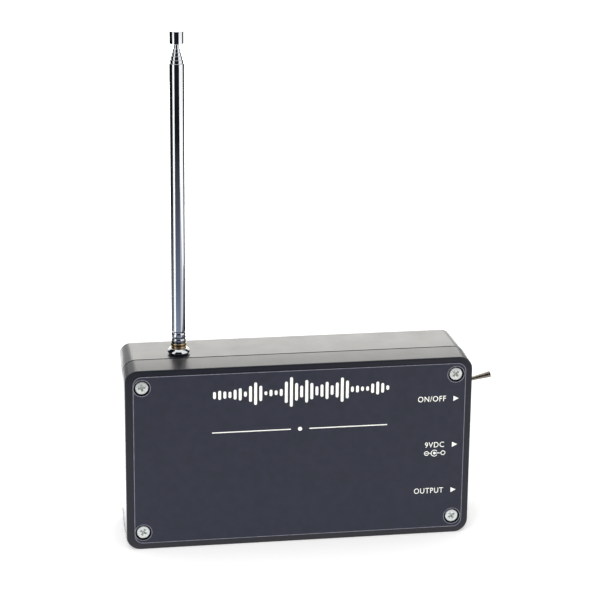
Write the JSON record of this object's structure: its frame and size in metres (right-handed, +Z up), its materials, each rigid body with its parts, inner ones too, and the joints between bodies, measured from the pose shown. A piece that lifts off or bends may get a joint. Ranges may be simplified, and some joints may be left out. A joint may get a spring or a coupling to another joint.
{
  "type": "theremin",
  "caption": "Pitch-only theremin: a flat black plastic case standing on edge, a slate label plate on its front, a chrome telescopic antenna on top and a toggle switch with jacks on one side.",
  "frame": {"origin": "centre of the flat face that the case stands on", "axes": "+X to the right seen from the front (the side with the switch and jacks), +Y to the back, +Z up along the antenna"},
  "size_m": [0.1635, 0.0388, 0.2224],
  "materials": {
    "case_black": "semi-gloss moulded ABS",
    "label_slate": "matt printed sheet",
    "zinc_screw": "bright zinc plate",
    "foam": "open-cell foam",
    "chrome": "polished plating",
    "brass": "turned brass",
    "tinned": "tinned brass",
    "nickel": "nickel plate",
    "phenolic": "moulded phenolic",
    "jack_black": "moulded nylon",
    "fibre": "pressed fibre",
    "board": "solder-masked glass laminate",
    "chip_black": "moulded epoxy",
    "can_metal": "tinned can",
    "ferrite": "painted ferrite",
    "capacitor_blue": "shrink sleeve",
    "capacitor_red": "moulded box",
    "capacitor_ochre": "dipped ceramic",
    "resistor_beige": "lacquered body with bands",
    "trimmer_blue": "moulded body",
    "trimmer_white": "moulded rotor",
    "battery_jacket": "printed metal jacket",
    "snap_black": "soft vinyl cover",
    "wire_pvc": "PVC insulation"
  },
  "bodies": {
    "case": {"base_shell": "case_black", "antenna_collar": "chrome", "antenna_foot": "brass", "antenna_tube_1": "chrome", "antenna_tag": "tinned", "antenna_washer": "zinc_screw", "antenna_nut": "nickel", "switch_body": "phenolic", "switch_bushing": "nickel", "switch_face_washer": "nickel", "switch_face_nut": "nickel", "switch_lock_washer": "nickel", "switch_back_nut": "nickel", "switch_tags": "tinned", "inlet_body": "jack_black", "inlet_nut": "jack_black", "inlet_pin": "nickel", "inlet_tags": "tinned", "socket_frame": "nickel", "socket_face_washer": "nickel", "socket_face_nut": "nickel", "socket_lock_washer": "nickel", "socket_insulator": "fibre", "socket_spring": "tinned", "socket_tags": "tinned", "circuit_board": "board", "board_screws": "zinc_screw", "chip_sockets": "chip_black", "chips": "chip_black", "chip_legs": "tinned", "coil_cans": "can_metal", "electrolytic_capacitors": "capacitor_blue", "film_capacitors": "capacitor_red", "ceramic_capacitors": "capacitor_ochre", "resistors": "resistor_beige", "transistors": "chip_black", "component_leads": "tinned", "trimmer_body": "trimmer_blue", "battery": "battery_jacket", "battery_terminals": "nickel", "battery_snap": "snap_black", "antenna_wire": "wire_pvc", "battery_wires": "wire_pvc", "switch_wires": "wire_pvc", "inlet_wires": "wire_pvc", "output_wires": "wire_pvc"},
    "lid": {"lid_shell": "case_black", "label_plate": "label_slate", "lid_screws": "zinc_screw", "battery_pad": "foam"},
    "antenna_section_2": {"antenna_tube_2": "chrome"},
    "antenna_section_3": {"antenna_tube_3": "chrome"},
    "antenna_section_4": {"antenna_tube_4": "chrome"},
    "antenna_section_5": {"antenna_tube_5": "chrome"},
    "antenna_rod_and_tip": {"antenna_rod": "chrome", "antenna_tip": "chrome"},
    "switch_lever": {"switch_lever": "nickel"},
    "tuning_core_left": {"tuning_core_left": "ferrite"},
    "tuning_core_right": {"tuning_core_right": "ferrite"},
    "trimmer_rotor": {"trimmer_rotor": "trimmer_white"}
  },
  "joints": [
    {"name": "antenna_slide_2", "type": "slide", "parent": "case", "child": "antenna_section_2", "axis": [0, 0, 1], "range_m": [0, 0.108]},
    {"name": "antenna_slide_3", "type": "slide", "parent": "antenna_section_2", "child": "antenna_section_3", "axis": [0, 0, 1], "range_m": [0, 0.1095]},
    {"name": "antenna_slide_4", "type": "slide", "parent": "antenna_section_3", "child": "antenna_section_4", "axis": [0, 0, 1], "range_m": [0, 0.111]},
    {"name": "antenna_slide_5", "type": "slide", "parent": "antenna_section_4", "child": "antenna_section_5", "axis": [0, 0, 1], "range_m": [0, 0.1125]},
    {"name": "antenna_rod_slide", "type": "slide", "parent": "antenna_section_5", "child": "antenna_rod_and_tip", "axis": [0, 0, 1], "range_m": [0, 0.114]},
    {"name": "switch_toggle", "type": "hinge", "parent": "case", "child": "switch_lever", "pos_m": [0.0774, 0.002, 0.063], "axis": [0, 1, 0], "range_deg": [0, 25]},
    {"name": "lid_removal", "type": "slide", "parent": "case", "child": "lid", "axis": [0, -1, 0], "range_m": [0, 0.06]},
    {"name": "tuning_core_left_turn", "type": "hinge", "parent": "case", "child": "tuning_core_left", "pos_m": [-0.02718, -0.002, 0.062], "axis": [0, -1, 0], "continuous": true},
    {"name": "tuning_core_right_turn", "type": "hinge", "parent": "case", "child": "tuning_core_right", "pos_m": [-0.02718, -0.002, 0.05], "axis": [0, -1, 0], "continuous": true},
    {"name": "trimmer_turn", "type": "hinge", "parent": "case", "child": "trimmer_rotor", "pos_m": [0.02943, 0.006, 0.06], "axis": [0, -1, 0], "range_deg": [-135, 135]}
  ]
}
